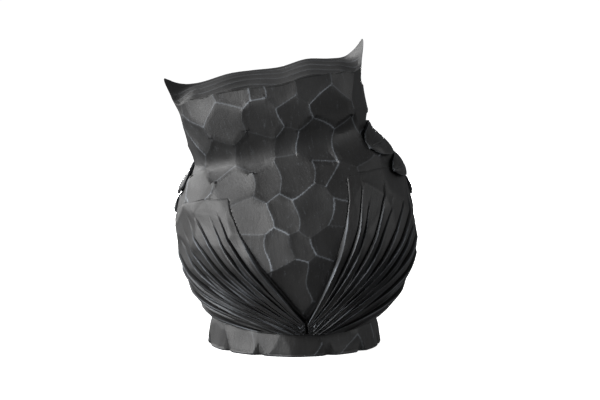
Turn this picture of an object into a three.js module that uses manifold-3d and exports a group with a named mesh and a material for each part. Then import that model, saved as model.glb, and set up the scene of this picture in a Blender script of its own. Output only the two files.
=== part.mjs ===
// A carved owl figurine seen as a joiner builds it: a head-and-body block standing on a foot block,
// two wing panels let into the body, loose shoulder feathers over them, a beak, two eyes, and the
// dowels and pegs that hold the blocks together.
//
// Millimetres. +Z is up, the owl faces -Y, its left side is +X, and the origin is the centre of the
// face that it stands on. Everything above the foot block is worked out on an upright owl, whose
// sections are level, is then leaned over along the spine, and is last sawn off level.

import * as THREE from "three";
import Module from "manifold-3d";
import { mergeVertices } from "three/addons/utils/BufferGeometryUtils.js";

const wasm = await Module();
wasm.setup();

// ---- Driving dimensions --------------------------------------------------------------------------

const GLUE_GAP = 0.3; // left between any two pieces that touch

// The foot block that the owl stands on.
const FOOT_HEIGHT = 15;
const FOOT_SIDE = 55.5;
const FOOT_BACK = 55.5;
const FOOT_FRONT = 57;
const TOE_REACH = 7;
const TOE_HEIGHT = 10;

// The spine tilts towards the owl's left: by TILT_LOW up to SPINE_START, then bending evenly to
// TILT_HIGH at SPINE_END, and straight above it.
const SPINE_SHIFT = -8; // how far to the owl's right the spine starts
const SPINE_START = 18;
const SPINE_END = 136;
const TILT_LOW_DEG = 5.6;
const TILT_HIGH_DEG = 11.8;

// Sections of the head-and-body block, from the foot block to above the ears. Each gives its height
// along the spine, its half width, its depth behind and in front, and how square it is (2 is an oval).
const SECTIONS = [
  { at: 16, side: 47.5, back: 54, front: 50, square: 2.1 },
  { at: 30, side: 61.5, back: 60, front: 57.5, square: 2.1 },
  { at: 50, side: 72.8, back: 65, front: 65, square: 2.1 },
  { at: 74, side: 77.2, back: 66, front: 67, square: 2.15 },
  { at: 96, side: 75.4, back: 60.5, front: 63.5, square: 2.2 },
  { at: 114, side: 69, back: 51, front: 56.5, square: 2.3 },
  { at: 130, side: 57.5, back: 44.5, front: 49.5, square: 2.4 },
  { at: 144, side: 59.3, back: 48, front: 50.5, square: 2.6 },
  { at: 158, side: 60, back: 50.5, front: 52, square: 2.7 },
  { at: 172, side: 62, back: 48.5, front: 55, square: 2.7 },
  { at: 186, side: 67.6, back: 45.5, front: 57, square: 2.7 },
];
const BLOCK_FROM = 6; // the upright block is made long, and sawn off level

// The crown of the head: the line of the brow from the right ear tip to the left one, as the
// distance from the middle and the height above EAR_TIP_HEIGHT. It is cut by eye, so its two halves
// differ a little. Then how the crown falls away on both sides of it.
const EAR_TIP_HEIGHT = 184.5;
const BROW_LINE = [
  [-66, 2],
  [-60, -3.4],
  [-52, -7.8],
  [-42, -7.2],
  [-27, -4.4],
  [-9, -6],
  [10, -4.3],
  [25, -3.4],
  [46, -5.2],
  [57, -3],
  [66, 2.8],
];
const BROW_FORWARD = 38; // how far forward of the spine the middle of the brow stands
const EAR_FORWARD = 22;
const CROWN_FALL = 6.5; // how much lower the crown is at the back of the head than at the brow
const FOREHEAD_FALL = 9; // and how much lower it is at the face
const EAR_FROM = 46; // where the crown narrows into an ear
const EAR_RISE = 13; // how far an ear stands above the corner of the crown
const EAR_HALF_THICKNESS = 15;

// A wing: a fan of long feathers that spreads from the tail to the shoulder. Its far edge is given
// as a share of the fan, the angle round the body from the middle of the back, and the height.
const FEATHERS = 11;
const FAN_EDGE = [
  [0, 39, 110],
  [0.26, 61, 111],
  [0.5, 86, 107],
  [0.7, 110, 96],
  [0.86, 126, 68],
  [1, 122, 12],
];
const TAIL_HALF_GAP_DEG = 0.9;
const TAIL_TOP = 21.5;
const TAIL_BOTTOM = 10;
const FAN_SAG = 22; // how far the feathers hang below straight lines
const WING_SEAT = 3.6; // depth that a wing is let into the body
const WING_PROUD = 2.6; // how far a wing stands out of the body
const WING_FAIRED_FROM = 0.62; // along a feather, where the wing starts to come down flush
const FEATHER_STEP = 1.5; // height of each feather's edge above the one beside it

// The loose shoulder feathers, from the neck down. Each has the angle and height of its tip and
// root, its width, and its thickness. The carver set the left ones a little further forward.
const COVERTS = {
  left: [
    { tip: [78, 119.5], root: [122, 127], width: 21, thickness: 4.4 },
    { tip: [88, 102.5], root: [129, 109], width: 14.5, thickness: 3.2 },
    { tip: [103, 89], root: [138, 94], width: 13.5, thickness: 2.6 },
  ],
  right: [
    { tip: [62, 121], root: [112, 127.5], width: 20, thickness: 5 },
    { tip: [69, 104.5], root: [122, 108.5], width: 15, thickness: 3.8 },
    { tip: [88, 90], root: [134, 94], width: 14, thickness: 2.6 },
  ],
};
const COVERT_REST = 1.3; // height of a covert's underside above the body
const COVERT_LIFT = 1; // extra height of a covert's tip

// The face.
const EYE_SPREAD = 26; // from the middle to each eye
const EYE_HEIGHT = 155;
const EYE_RADIUS = 10.5;
const EYE_LIFT = 2.2; // how far the back of an eye's dome stands off the bottom of its disc
const EYE_SHANK_RADIUS = 6;
const EYE_SHANK_LENGTH = 9;
const DISC_RADIUS = 23.5;
const DISC_HOLLOW = 6.5; // depth of the carved disc round each eye
const BEAK_HEIGHT = 148;
const BEAK_LENGTH = 23;
const BEAK_WIDTH = 12;
const BEAK_REACH = 11; // how far the beak stands out of the face
const TENON = { width: 5, height: 9, depth: 8 };

// Dowels between the two blocks, and pegs that hold each wing panel.
const DOWEL = { radius: 5, depthInFoot: 9.5, depthInBody: 13, spread: 26 };
const PEG = { radius: 2.5, depthInBody: 10, depthInWing: 1.6 };
const PEG_PLACES = [
  [0.3, 0.72],
  [0.68, 0.62],
];

const WOOD = { color: 0x2b2b2c, roughness: 0.55, metalness: 0 };
const HORN = { color: 0x232324, roughness: 0.42, metalness: 0 };
const GLASS = { color: 0x0a0a0b, roughness: 0.08, metalness: 0 };
const DOWEL_WOOD = { color: 0xb59468, roughness: 0.7, metalness: 0 };

const rad = THREE.MathUtils.degToRad;
const TILT_LOW = rad(TILT_LOW_DEG);
const TILT_HIGH = rad(TILT_HIGH_DEG);
const BEND_RADIUS = (SPINE_END - SPINE_START) / (TILT_HIGH - TILT_LOW);

// ---- Smooth lines through given points -----------------------------------------------------------

// A smooth function through [x, y] points, straight beyond the first and last.
function lineThrough(points) {
  const slope = points.map((p, i) => {
    const before = points[Math.max(i - 1, 0)];
    const after = points[Math.min(i + 1, points.length - 1)];
    return (after[1] - before[1]) / (after[0] - before[0]);
  });
  const last = points.length - 1;
  return (x) => {
    if (x <= points[0][0]) return points[0][1] + slope[0] * (x - points[0][0]);
    if (x >= points[last][0]) return points[last][1] + slope[last] * (x - points[last][0]);
    const i = points.findIndex((p) => p[0] > x) - 1;
    const width = points[i + 1][0] - points[i][0];
    const t = (x - points[i][0]) / width;
    const rise = points[i + 1][1] - points[i][1];
    const a = slope[i] * width - rise;
    const b = rise - slope[i + 1] * width;
    return points[i][1] + rise * t + t * (1 - t) * (a * (1 - t) + b * t);
  };
}

const fade = (x, from, to) => THREE.MathUtils.smoothstep(x, from, to);

// ---- The upright owl's skin and its lean ---------------------------------------------------------

const sectionLine = (key) => lineThrough(SECTIONS.map((s) => [s.at, s[key]]));
const sideAt = sectionLine("side");
const backAt = sectionLine("back");
const frontAt = sectionLine("front");
const squareAt = sectionLine("square");

// How far the skin is from the spine, at an angle from the middle of the back and a height.
function skinRadius(angle, height) {
  const power = squareAt(height);
  const depth = Math.cos(angle) > 0 ? backAt(height) : frontAt(height);
  const across = Math.abs(Math.sin(angle)) / sideAt(height);
  const along = Math.abs(Math.cos(angle)) / depth;
  return (across ** power + along ** power) ** (-1 / power);
}

function onSkin(angle, height, offset = 0) {
  const r = skinRadius(angle, height) + offset;
  return new THREE.Vector3(r * Math.sin(angle), r * Math.cos(angle), height);
}

// Where a point of the upright owl goes when the owl is leaned over.
function leaned(p) {
  const share = (p.z - SPINE_START) / (SPINE_END - SPINE_START);
  const tilt = THREE.MathUtils.lerp(TILT_LOW, TILT_HIGH, THREE.MathUtils.clamp(share, 0, 1));
  const straight = p.z - THREE.MathUtils.clamp(p.z, SPINE_START, SPINE_END);
  const spineX = BEND_RADIUS * (Math.cos(TILT_LOW) - Math.cos(tilt)) + straight * Math.sin(tilt);
  const spineZ = BEND_RADIUS * (Math.sin(tilt) - Math.sin(TILT_LOW)) + straight * Math.cos(tilt);
  return new THREE.Vector3(
    SPINE_SHIFT + spineX + p.x * Math.cos(tilt),
    p.y,
    SPINE_START + spineZ - p.x * Math.sin(tilt),
  );
}

function leanOver(geometry) {
  const at = geometry.getAttribute("position");
  const p = new THREE.Vector3();
  for (let i = 0; i < at.count; i++) {
    p.fromBufferAttribute(at, i);
    at.setXYZ(i, ...leaned(p).toArray());
  }
  return geometry;
}

// ---- Closed surfaces and solids ------------------------------------------------------------------

function meshOf(points, triangles) {
  const geometry = new THREE.BufferGeometry();
  geometry.setAttribute(
    "position",
    new THREE.Float32BufferAttribute(points.flatMap((p) => p.toArray()), 3),
  );
  geometry.setIndex(triangles.flat());
  return geometry;
}

// Rings of points, each the same number and counter-clockwise seen from above, from the lowest up,
// closed by a flat fan at each end.
function stackedRings(rings) {
  const n = rings[0].length;
  const middle = (ring) =>
    ring.reduce((sum, p) => sum.add(p), new THREE.Vector3()).divideScalar(n);
  const points = [...rings.flat(), middle(rings[0]), middle(rings.at(-1))];
  const low = rings.length * n;
  const high = low + 1;
  const top = low - n;
  const triangles = [];
  for (let i = 0; i < n; i++) {
    const j = (i + 1) % n;
    triangles.push([low, j, i], [high, top + i, top + j]);
    for (let r = 0; r < rings.length - 1; r++) {
      const a = r * n + i;
      const b = r * n + j;
      triangles.push([a, b, b + n], [a, b + n, a + n]);
    }
  }
  return meshOf(points, triangles);
}

// A slab between two grids of the same size: outer[row][column] faces out, and inner lies under it.
function slab(outer, inner) {
  const rows = outer.length;
  const columns = outer[0].length;
  const points = [...outer.flat(), ...inner.flat()];
  const under = rows * columns;
  const at = (r, c) => r * columns + c;
  const triangles = [];
  const quad = (a, b, c, d) => triangles.push([a, b, c], [a, c, d]);
  for (let r = 0; r < rows - 1; r++) {
    for (let c = 0; c < columns - 1; c++) {
      const [p, q, s, t] = [at(r, c), at(r, c + 1), at(r + 1, c + 1), at(r + 1, c)];
      quad(p, q, s, t);
      quad(under + t, under + s, under + q, under + p);
    }
  }
  const wall = (a, b) => quad(a, under + a, under + b, b);
  for (let c = 0; c < columns - 1; c++) {
    wall(at(0, c), at(0, c + 1));
    wall(at(rows - 1, c + 1), at(rows - 1, c));
  }
  for (let r = 0; r < rows - 1; r++) {
    wall(at(r + 1, 0), at(r, 0));
    wall(at(r, columns - 1), at(r + 1, columns - 1));
  }
  return meshOf(points, triangles);
}

// A closed geometry as a solid, turned the right way out if it was made mirrored.
function solidOf(geometry) {
  const bare = geometry.clone();
  bare.deleteAttribute("normal");
  bare.deleteAttribute("uv");
  const merged = mergeVertices(bare, 1e-4);
  const triVerts = new Uint32Array(merged.index.array);
  const vertProperties = merged.attributes.position.array;
  const make = () => new wasm.Manifold(new wasm.Mesh({ numProp: 3, vertProperties, triVerts }));
  const solid = make();
  if (solid.volume() > 0) return solid;
  for (let i = 0; i < triVerts.length; i += 3) {
    [triVerts[i + 1], triVerts[i + 2]] = [triVerts[i + 2], triVerts[i + 1]];
  }
  return make();
}

function geometryOf(solid) {
  const { numProp, vertProperties, triVerts } = solid.getMesh();
  const geometry = new THREE.BufferGeometry();
  const count = vertProperties.length / numProp;
  const at = new Float32Array(count * 3);
  for (let i = 0; i < count; i++) {
    at.set(vertProperties.subarray(i * numProp, i * numProp + 3), i * 3);
  }
  geometry.setAttribute("position", new THREE.BufferAttribute(at, 3));
  geometry.setIndex(new THREE.BufferAttribute(triVerts, 1));
  geometry.computeVertexNormals();
  return geometry;
}

const steps = (n) => Array.from({ length: n + 1 }, (_, i) => i / n);

// ---- The wing fan --------------------------------------------------------------------------------

const fanAngle = lineThrough(FAN_EDGE.map(([share, angle]) => [share, rad(angle)]));
const fanHeight = lineThrough(FAN_EDGE.map(([share, , height]) => [share, height]));

// The angle and height of a place on a wing: share counts across the fan, from the edge beside the
// middle of the back, and along counts from the tail to the fan's far edge.
function onFan(share, along) {
  const start = [rad(TAIL_HALF_GAP_DEG), THREE.MathUtils.lerp(TAIL_TOP, TAIL_BOTTOM, share)];
  const end = [fanAngle(share), fanHeight(share)];
  const sag = FAN_SAG * Math.max(0, Math.sin(Math.PI * (0.2 + 0.8 * share)));
  const middle = [(start[0] + end[0]) / 2, (start[1] + end[1]) / 2 - sag];
  const left = 1 - along;
  return [0, 1].map(
    (i) => left * left * start[i] + 2 * left * along * middle[i] + along * along * end[i],
  );
}

function wingPoint(side, share, along, offset) {
  const [angle, height] = onFan(share, along);
  const p = onSkin(angle, height, offset);
  p.x *= side;
  return p;
}

// Each feather's inner edge stands FEATHER_STEP above the outer edge of the feather before it.
function wingRelief(share, along) {
  const within = THREE.MathUtils.euclideanModulo(share * FEATHERS, 1);
  const flush = 1 - fade(along, WING_FAIRED_FROM, 0.95);
  return flush * (WING_PROUD - FEATHER_STEP * within);
}

const FAN_ROWS = 8;
const featherColumns = Array.from({ length: FEATHERS }, (_, i) =>
  [0.02, 0.5, 0.98].map((within) => (i + within) / FEATHERS),
).flat();

function wingPanel(side) {
  const grid = (offset) =>
    steps(FAN_ROWS).map((along) =>
      featherColumns.map((share) => wingPoint(side, share, along, offset(share, along))),
    );
  return slab(
    grid(wingRelief),
    grid(() => -WING_SEAT),
  );
}

// The pocket that a wing panel is let into: the panel's own grid, with a margin all round it.
function wingPocket(side) {
  const ABOVE = 12;
  const MARGIN = 2 * GLUE_GAP;
  const length = wingPoint(side, 0.5, 0, 0).distanceTo(wingPoint(side, 0.5, 1, 0));
  const past = MARGIN / length;
  const grid = (offset) =>
    [-past, ...steps(FAN_ROWS), 1 + past].map((along) => {
      const width = wingPoint(side, 0, along, 0).distanceTo(wingPoint(side, 1, along, 0));
      const beside = MARGIN / width;
      return [-beside, ...featherColumns, 1 + beside].map((share) =>
        wingPoint(side, share, along, offset),
      );
    });
  return slab(grid(ABOVE), grid(-WING_SEAT - GLUE_GAP));
}

// ---- The head-and-body block ---------------------------------------------------------------------

const browHeight = lineThrough(BROW_LINE);

function crownHeight(x, y) {
  const ear = fade(Math.abs(x), EAR_FROM, sideAt(EAR_TIP_HEIGHT));
  const crest = -THREE.MathUtils.lerp(BROW_FORWARD, EAR_FORWARD, ear);
  const reach = y > crest ? backAt(EAR_TIP_HEIGHT) - crest : frontAt(EAR_TIP_HEIGHT) + crest;
  const away = Math.abs(y - crest) / reach;
  const fall = y > crest ? CROWN_FALL * away ** 1.8 : FOREHEAD_FALL * away ** 1.5;
  const fromTip = ((y - crest) / EAR_HALF_THICKNESS) ** 2;
  const earFall = (EAR_RISE * ear * fromTip) / (1 + fromTip);
  return EAR_TIP_HEIGHT + browHeight(x) - fall - earFall;
}

// Everything below the crown's surface, from FLOOR up, wide enough to hold the head.
function underCrown() {
  const FLOOR = 120;
  const REACH = 78;
  const COLUMNS = 28;
  const ROWS = 15;
  const grid = (height) =>
    steps(ROWS).map((row) =>
      steps(COLUMNS).map((column) => {
        const x = REACH * (2 * column - 1);
        const y = REACH * (1 - 2 * row);
        return new THREE.Vector3(x, y, height(x, y));
      }),
    );
  return slab(
    grid((x, y) => Math.max(crownHeight(x, y), FLOOR + 1)),
    grid(() => FLOOR),
  );
}

const BLOCK_SEGMENTS = 52;
const BLOCK_ROWS = 26;

function blockColumn(from, to) {
  return stackedRings(
    steps(BLOCK_ROWS).map((row) =>
      steps(BLOCK_SEGMENTS)
        .slice(0, -1)
        .map((turn) => onSkin(-2 * Math.PI * turn, THREE.MathUtils.lerp(from, to, row))),
    ),
  );
}

// The face is flat enough round an eye to count as a plane this far in front of the spine.
const eyeAngle = Math.PI - Math.atan2(EYE_SPREAD, frontAt(EYE_HEIGHT));
const FACE_FORWARD = -onSkin(eyeAngle, EYE_HEIGHT).y;

// The carved hollow round an eye: a shallow bowl, sunk DISC_HOLLOW into the face.
function discBowl(side) {
  const bowlRadius = (DISC_RADIUS ** 2 + DISC_HOLLOW ** 2) / (2 * DISC_HOLLOW);
  const bowl = new THREE.SphereGeometry(bowlRadius, 32, 18).rotateX(Math.PI / 2);
  return bowl.translate(side * EYE_SPREAD, DISC_HOLLOW - FACE_FORWARD - bowlRadius, EYE_HEIGHT);
}

function uprightBlock() {
  const top = EAR_TIP_HEIGHT + 5;
  const neck = SPINE_END - 10;
  const column = solidOf(blockColumn(BLOCK_FROM, top));
  const aboveNeck = solidOf(new THREE.BoxGeometry(200, 200, 100).translate(0, 0, neck + 50));
  const head = column.intersect(aboveNeck).intersect(solidOf(underCrown()));
  let block = column.subtract(aboveNeck).add(head);
  for (const side of [1, -1]) {
    block = block.subtract(solidOf(wingPocket(side))).subtract(solidOf(discBowl(side)));
  }
  return geometryOf(block);
}

// A leaned piece sawn off level, a glue gap above the foot block.
function sawnLevel(solid) {
  const SAW = 60;
  const below = new THREE.BoxGeometry(200, 200, SAW);
  return solid.subtract(solidOf(below.translate(0, 0, FOOT_HEIGHT + GLUE_GAP - SAW / 2)));
}

// ---- Straight pins, drilled after the owl is leaned over -----------------------------------------

// A cylinder from one point to another, as { solid } grown by extra all round.
function rod(from, to, radius, extra = 0) {
  const along = to.clone().sub(from);
  const length = along.length() + 2 * extra;
  const cylinder = new THREE.CylinderGeometry(radius + extra, radius + extra, length, 20);
  cylinder.applyQuaternion(
    new THREE.Quaternion().setFromUnitVectors(new THREE.Vector3(0, 1, 0), along.normalize()),
  );
  const middle = from.clone().lerp(to, 0.5);
  return cylinder.translate(...middle.toArray());
}

function footDowel(side, extra) {
  const at = (z) => new THREE.Vector3(side * DOWEL.spread, 0, z);
  return rod(
    at(FOOT_HEIGHT - DOWEL.depthInFoot),
    at(FOOT_HEIGHT + DOWEL.depthInBody),
    DOWEL.radius,
    extra,
  );
}

function wingPeg(side, [share, along], extra) {
  const deep = leaned(wingPoint(side, share, along, -WING_SEAT - PEG.depthInBody));
  const shallow = leaned(wingPoint(side, share, along, -WING_SEAT + PEG.depthInWing));
  return rod(deep, shallow, PEG.radius, extra);
}

// ---- The shoulder feathers -----------------------------------------------------------------------

// One loose feather: pointed at its tip, blunt at its root, domed across, and lying over the wing.
function covert(side, { tip, root, width, thickness }) {
  const ROWS = 8;
  const COLUMNS = 6;
  const girth = skinRadius(rad(tip[0]), tip[1]);
  const run = new THREE.Vector2(rad(root[0] - tip[0]) * girth, root[1] - tip[1]);
  const length = run.length();
  const across = new THREE.Vector2(-run.y, run.x).divideScalar(length);
  const halfWidth = lineThrough([
    [0, width * 0.12],
    [0.12, width * 0.33],
    [0.4, width * 0.49],
    [0.75, width * 0.46],
    [1, width * 0.3],
  ]);
  const grid = (offset) =>
    steps(ROWS).map((row) =>
      steps(COLUMNS).map((column) => {
        const sideways = (1 - 2 * column) * halfWidth(row);
        const angle = rad(tip[0]) + (run.x * row + across.x * sideways) / girth;
        const height = tip[1] + run.y * row + across.y * sideways;
        const p = onSkin(angle, height, offset(row, 1 - 2 * column));
        p.x *= side;
        return p;
      }),
    );
  const lift = (row) => COVERT_REST + COVERT_LIFT * (1 - row);
  const dome = (row, a) => thickness * (0.45 + 0.55 * (1 - a * a)) * (1 - 0.35 * row);
  return slab(
    grid((row, a) => lift(row) + dome(row, a)),
    grid((row) => lift(row)),
  );
}

// ---- The foot block ------------------------------------------------------------------------------

// V cuts between the skirt feathers, and toes, by angle from the middle of the back.
const SKIRT_CUTS = [23.5, 51, 80].flatMap((a) => [a, -a]);
const TOES = [14, 28, 42].flatMap((a) => [180 - a, 180 + a]);
const SKIRT_CUT_DEPTH = 3.2;
const SKIRT_CUT_HEIGHT = 9;
const SKIRT_CUT_HALF_DEG = 5;
const TOE_HALF_DEG = 7;
const FOOT_SEGMENTS = 90;

const footFlare = lineThrough([
  [0, -0.6],
  [1.5, 1],
  [8, 1.2],
  [12, 0.2],
  [FOOT_HEIGHT, -1.6],
]);

const degreesApart = (a, b) => Math.abs(THREE.MathUtils.euclideanModulo(a - b + 180, 360) - 180);

function footRadius(degrees, z) {
  const angle = rad(degrees);
  const depth = Math.cos(angle) > 0 ? FOOT_BACK : FOOT_FRONT;
  const oval = ((Math.sin(angle) / FOOT_SIDE) ** 2 + (Math.cos(angle) / depth) ** 2) ** -0.5;
  const near = (list, half) =>
    Math.max(0, 1 - Math.min(...list.map((a) => degreesApart(a, degrees))) / half);
  const cut = SKIRT_CUT_DEPTH * near(SKIRT_CUTS, SKIRT_CUT_HALF_DEG);
  const toe = TOE_REACH * Math.sqrt(near(TOES, TOE_HALF_DEG));
  return (
    oval +
    footFlare(z) -
    cut * (1 - fade(z, 0, SKIRT_CUT_HEIGHT)) +
    toe * (1 - fade(z, TOE_HEIGHT * 0.4, TOE_HEIGHT))
  );
}

function footBlock() {
  const heights = [0, 1.5, 5, 8.5, 12, FOOT_HEIGHT];
  const rings = heights.map((z) =>
    steps(FOOT_SEGMENTS)
      .slice(0, -1)
      .map((turn) => {
        const degrees = -360 * turn;
        const r = footRadius(degrees, z);
        return new THREE.Vector3(r * Math.sin(rad(degrees)), r * Math.cos(rad(degrees)), z);
      }),
  );
  return solidOf(stackedRings(rings));
}

// ---- Eyes and beak, modelled facing -Y round their own seats -------------------------------------

// A domed glass eye on a shank.
function eyeSolid() {
  const DOME_STEPS = 5;
  const rim = 1.2;
  const dome = steps(DOME_STEPS).map((t) => {
    const a = (Math.PI / 2) * t;
    return new THREE.Vector2(EYE_RADIUS * Math.cos(a), rim + EYE_RADIUS * 0.62 * Math.sin(a));
  });
  dome.at(-1).x = 0;
  const profile = [
    new THREE.Vector2(0, -EYE_SHANK_LENGTH),
    new THREE.Vector2(EYE_SHANK_RADIUS, -EYE_SHANK_LENGTH),
    new THREE.Vector2(EYE_SHANK_RADIUS, 0),
    new THREE.Vector2(EYE_RADIUS, 0),
    ...dome,
  ];
  const lathe = new THREE.LatheGeometry(profile, 22);
  return lathe.rotateX(Math.PI);
}

// The beak: a hooked wedge, wide at the brow and drawn down to a point, with a tenon behind. Grown
// all round by extra, it cuts its own seat.
function beakSolid(extra = 0) {
  const RINGS = 8;
  const SIDES = 14;
  const BEHIND = 3;
  const rings = steps(RINGS).map((t) => {
    const down = extra - (BEAK_LENGTH + 2 * extra) * t;
    const halfWidth = (BEAK_WIDTH / 2) * Math.max(0.12, Math.sqrt(1 - t ** 2.2)) + extra;
    const reach = BEAK_REACH * Math.max(0.12, Math.sin(Math.PI * (0.3 + 0.62 * t))) + extra;
    return steps(SIDES)
      .slice(0, -1)
      .map((turn) => {
        const a = 2 * Math.PI * turn;
        const forward = Math.sin(a) > 0 ? BEHIND + extra : reach;
        return new THREE.Vector3(halfWidth * Math.cos(a), forward * Math.sin(a), down);
      });
  });
  const body = solidOf(stackedRings(rings.reverse()));
  const size = [TENON.width, TENON.depth + BEHIND, TENON.height].map((s) => s + 2 * extra);
  const tenon = new THREE.BoxGeometry(...size);
  return body.add(solidOf(tenon.translate(0, size[1] / 2 - extra, -BEAK_LENGTH * 0.42)));
}

const HEAD_TURN = new THREE.Quaternion().setFromAxisAngle(new THREE.Vector3(0, 1, 0), TILT_HIGH);
const eyeSeat = (side) =>
  leaned(new THREE.Vector3(side * EYE_SPREAD, DISC_HOLLOW - FACE_FORWARD - EYE_LIFT, EYE_HEIGHT));
const beakSeat = leaned(
  new THREE.Vector3(0, -frontAt(BEAK_HEIGHT), BEAK_HEIGHT + BEAK_LENGTH / 2),
);

function beakAt(extra) {
  const geometry = geometryOf(beakSolid(extra)).applyQuaternion(HEAD_TURN);
  return geometry.translate(...beakSeat.toArray());
}

function eyeSocket(side) {
  const seat = eyeSeat(side);
  const far = seat.clone();
  far.y += EYE_SHANK_LENGTH + GLUE_GAP;
  const near = seat.clone();
  near.y -= EYE_RADIUS;
  return rod(far, near, EYE_SHANK_RADIUS + GLUE_GAP);
}

// ---- Putting the owl together --------------------------------------------------------------------

const owl = new THREE.Group();

function add(name, geometry, look, parent = owl) {
  const mesh = new THREE.Mesh(geometry, new THREE.MeshStandardMaterial(look));
  mesh.name = name;
  parent.add(mesh);
  return mesh;
}

const sides = [
  ["left", 1],
  ["right", -1],
];

let foot = footBlock();
let block = sawnLevel(solidOf(leanOver(uprightBlock())));
block = block.subtract(solidOf(beakAt(GLUE_GAP)));

for (const [name, side] of sides) {
  foot = foot.subtract(solidOf(footDowel(side, GLUE_GAP)));
  block = block.subtract(solidOf(footDowel(side, GLUE_GAP)));
  block = block.subtract(solidOf(eyeSocket(side)));
  add(`${name}_foot_dowel`, footDowel(side, 0), DOWEL_WOOD);

  let wing = sawnLevel(solidOf(leanOver(wingPanel(side))));
  PEG_PLACES.forEach((place, i) => {
    wing = wing.subtract(solidOf(wingPeg(side, place, GLUE_GAP)));
    block = block.subtract(solidOf(wingPeg(side, place, GLUE_GAP)));
    add(`${name}_wing_peg_${i + 1}`, wingPeg(side, place, 0), DOWEL_WOOD);
  });
  add(`${name}_wing`, geometryOf(wing), WOOD);

  COVERTS[name].forEach((shape, i) => {
    add(`${name}_covert_${i + 1}`, geometryOf(solidOf(leanOver(covert(side, shape)))), WOOD);
  });

  const eye = add(`${name}_eye`, eyeSolid(), GLASS);
  eye.position.copy(eyeSeat(side));
  eye.quaternion.copy(HEAD_TURN);
}

add("beak", beakAt(0), HORN);
add("head_and_body_block", geometryOf(block), WOOD);
add("foot_block", geometryOf(foot), WOOD);

export default owl;
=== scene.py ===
# %% [markdown]
# # A carved owl
# The object is an owl about 195 mm tall, cut from dark stained wood with gouges and V-tools: a head
# and body in one block, two wings of long feathers, shoulder feathers, a low foot, two glass eyes
# and a beak. The CAD model says where each of these sits. This script gives each one its carved
# surface and its finish, one piece at a time.

# %% Load the frame
import math
import random

import bpy
import numpy as np
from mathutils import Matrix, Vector
from mathutils.kdtree import KDTree


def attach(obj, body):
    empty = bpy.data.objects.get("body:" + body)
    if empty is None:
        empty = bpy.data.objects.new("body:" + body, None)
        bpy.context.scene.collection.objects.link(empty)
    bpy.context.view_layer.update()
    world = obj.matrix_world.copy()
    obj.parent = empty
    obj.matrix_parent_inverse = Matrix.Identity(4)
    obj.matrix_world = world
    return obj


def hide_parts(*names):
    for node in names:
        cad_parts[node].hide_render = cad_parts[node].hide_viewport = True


MM = 0.001  # this script works in millimetres, and Blender in metres

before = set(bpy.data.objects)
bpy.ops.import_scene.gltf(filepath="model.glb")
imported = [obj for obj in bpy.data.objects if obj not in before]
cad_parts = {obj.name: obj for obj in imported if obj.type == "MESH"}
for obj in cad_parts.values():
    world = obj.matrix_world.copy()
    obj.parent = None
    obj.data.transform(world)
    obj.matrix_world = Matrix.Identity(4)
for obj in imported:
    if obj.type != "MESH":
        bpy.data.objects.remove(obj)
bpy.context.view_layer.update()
print("CAD nodes:", sorted(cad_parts))

# %% [markdown]
# ## Camera first
# A long lens keeps the owl's proportions true, as in a studio picture of a small object. It stands
# a little above the owl's middle, straight behind it, so the fan of both wings and the tilt of the
# head show together. Placing it first lets every later step be judged from the same spot.

# %% Camera
AIM = Vector((-3.6, 0, 93.4))
CAMERA_UP_DEG = 6.1
CAMERA_AWAY = 1460
LENS = 135
FURTHEST_SEEN = 50  # in metres, so that the floor has no visible end


def make_camera():
    up = math.radians(CAMERA_UP_DEG)
    offset = Vector((0, math.cos(up), math.sin(up))) * CAMERA_AWAY
    bpy.ops.object.camera_add(location=(AIM + offset) * MM)
    camera = bpy.context.object
    camera.rotation_euler = (-offset).to_track_quat("-Z", "Y").to_euler()
    camera.data.lens = LENS
    camera.data.clip_end = FURTHEST_SEEN
    bpy.context.scene.camera = camera
    return camera


print("camera at", [round(c, 3) for c in make_camera().location])

# %% [markdown]
# ## The owl's form as a formula
# A hand-carved body has no straight edges to measure from, so every cut is placed on one shared
# form: level sections of an upright owl, each a squared oval, stacked along a spine. A place on it
# is an angle from the middle of the back and a height. The whole upright owl is leaned over at the
# very end, so that left and right are worked out once. Lofting a mesh through section curves would
# give the same form, but the formula can also be asked for a point anywhere on it.

# %% Sections of the upright owl
# Height, half width, depth behind, depth in front, and squareness (2 is an oval), in millimetres.
SECTIONS = np.array(
    [
        (16, 47.5, 54, 50, 2.1),
        (30, 61.5, 60, 57.5, 2.1),
        (50, 72.8, 65, 65, 2.1),
        (74, 77.2, 66, 67, 2.15),
        (96, 75.4, 60.5, 63.5, 2.2),
        (114, 69, 51, 56.5, 2.3),
        (130, 57.5, 44.5, 49.5, 2.4),
        (144, 59.3, 48, 50.5, 2.6),
        (158, 60, 50.5, 52, 2.7),
        (172, 62, 48.5, 55, 2.7),
        (186, 67.6, 45.5, 57, 2.7),
    ]
)


def line_through(xs, ys):
    """A smooth curve through the given points, straight beyond both ends."""
    xs = np.asarray(xs, float)
    ys = np.asarray(ys, float)
    slope = (np.append(ys[1:], ys[-1]) - np.insert(ys[:-1], 0, ys[0])) / (
        np.append(xs[1:], xs[-1]) - np.insert(xs[:-1], 0, xs[0])
    )

    def at(x):
        x = np.asarray(x, float)
        i = np.clip(np.searchsorted(xs, x, side="right") - 1, 0, len(xs) - 2)
        width = xs[i + 1] - xs[i]
        t = np.clip((x - xs[i]) / width, 0, 1)
        rise = ys[i + 1] - ys[i]
        bend = (slope[i] * width - rise) * (1 - t) + (rise - slope[i + 1] * width) * t
        beyond = np.minimum(x - xs[0], 0) * slope[0] + np.maximum(x - xs[-1], 0) * slope[-1]
        return ys[i] + rise * t + t * (1 - t) * bend + beyond

    return at


side_at, back_at, front_at, square_at = (
    line_through(SECTIONS[:, 0], SECTIONS[:, i]) for i in (1, 2, 3, 4)
)


def fade(x, start, end):
    """0 before start, 1 after end, and smooth between them."""
    t = np.clip((np.asarray(x, float) - start) / (end - start), 0, 1)
    return t * t * (3 - 2 * t)


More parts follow.
